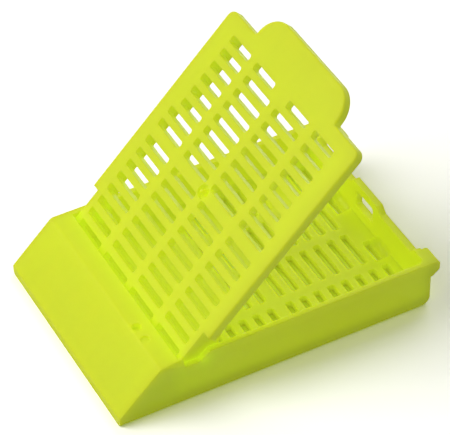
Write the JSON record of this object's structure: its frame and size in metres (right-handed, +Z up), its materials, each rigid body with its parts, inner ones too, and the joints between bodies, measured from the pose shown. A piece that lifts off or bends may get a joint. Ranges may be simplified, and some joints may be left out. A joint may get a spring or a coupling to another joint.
{
  "type": "tissue cassette",
  "caption": "Slotted tray with a slanted writing face and a hinged slotted lid with a thumb tab and a snap hook, for holding tissue samples during processing.",
  "frame": {"origin": "middle of the bounding box's bottom face, on the surface that the tray stands on", "axes": "+X from the writing face to the rear wall with the lid's latch, +Y across the width, +Z up"},
  "size_m": [0.042, 0.0292, 0.031],
  "materials": {
    "tray_plastic": "semi-matte acetal in a fluorescent yellow",
    "lid_plastic": "semi-matte acetal in a fluorescent yellow"
  },
  "bodies": {
    "tray": {"base": "tray_plastic"},
    "cover": {"lid": "lid_plastic"}
  },
  "joints": [
    {"name": "lid_hinge", "type": "hinge", "parent": "tray", "child": "cover", "pos_m": [-0.00992, 0, 0.0053], "axis": [0, -1, 0], "range_deg": [-45.7, 60]}
  ]
}
